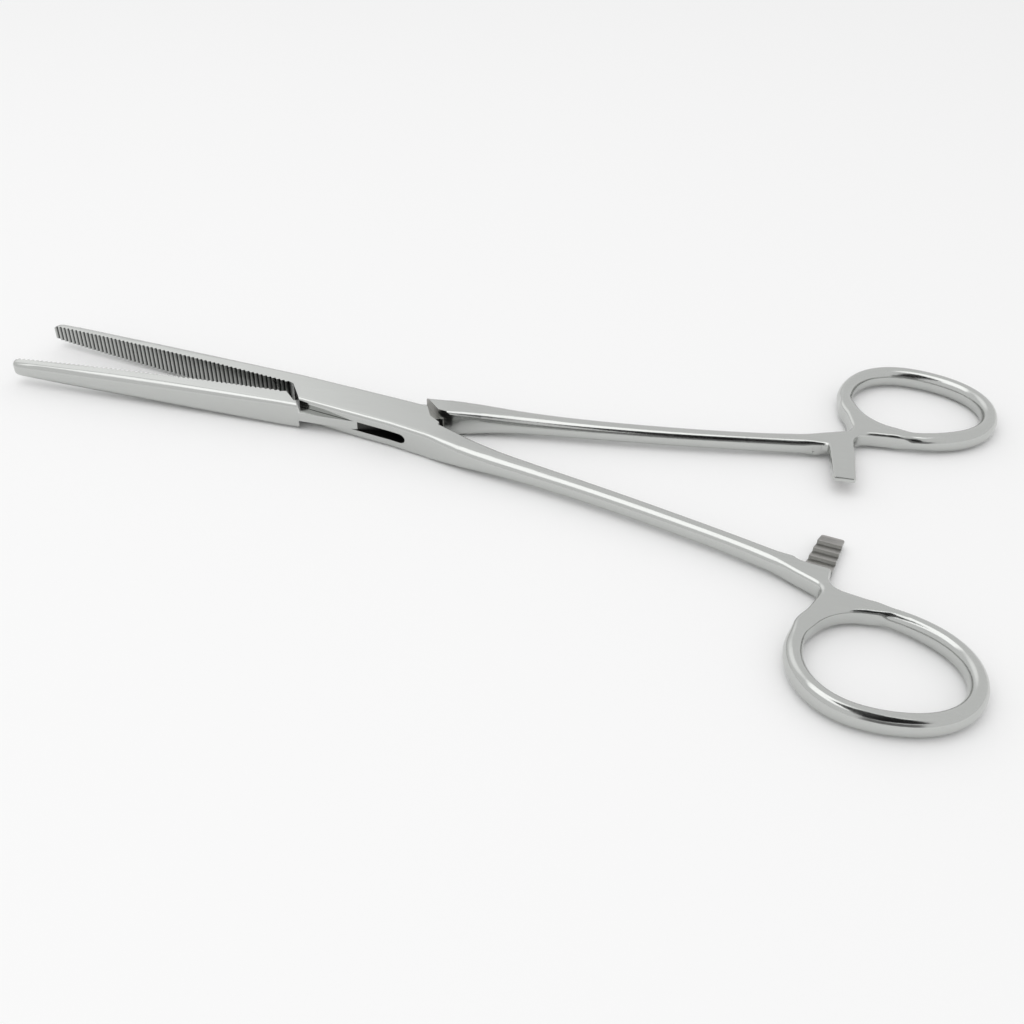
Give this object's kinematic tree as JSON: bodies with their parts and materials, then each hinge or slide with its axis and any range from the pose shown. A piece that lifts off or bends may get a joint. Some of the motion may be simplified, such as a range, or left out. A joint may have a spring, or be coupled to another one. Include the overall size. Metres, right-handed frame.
{
  "type": "hemostat forceps",
  "caption": "Straight box-lock artery forceps with fully serrated jaws, a toothed ratchet and oval finger rings, lying flat and partly open.",
  "frame": {"origin": "on the pivot's axis, at the flat underside of the box lock", "axes": "+X along the centre line towards the finger rings, +Z along the pivot, up from the surface that the instrument lies on"},
  "size_m": [0.1968, 0.1042, 0.0058],
  "materials": {
    "steel": "polished",
    "pin_steel": "polished"
  },
  "bodies": {
    "box_half": {"slotted_half": "steel", "pivot_pin": "pin_steel"},
    "tongue_half": {"tongue_half": "steel"}
  },
  "joints": [
    {"name": "jaw_hinge", "type": "hinge", "parent": "box_half", "child": "tongue_half", "pos_m": [0, 0, 0], "axis": [0, 0, 1], "range_deg": [-10.4, 49.6]}
  ]
}
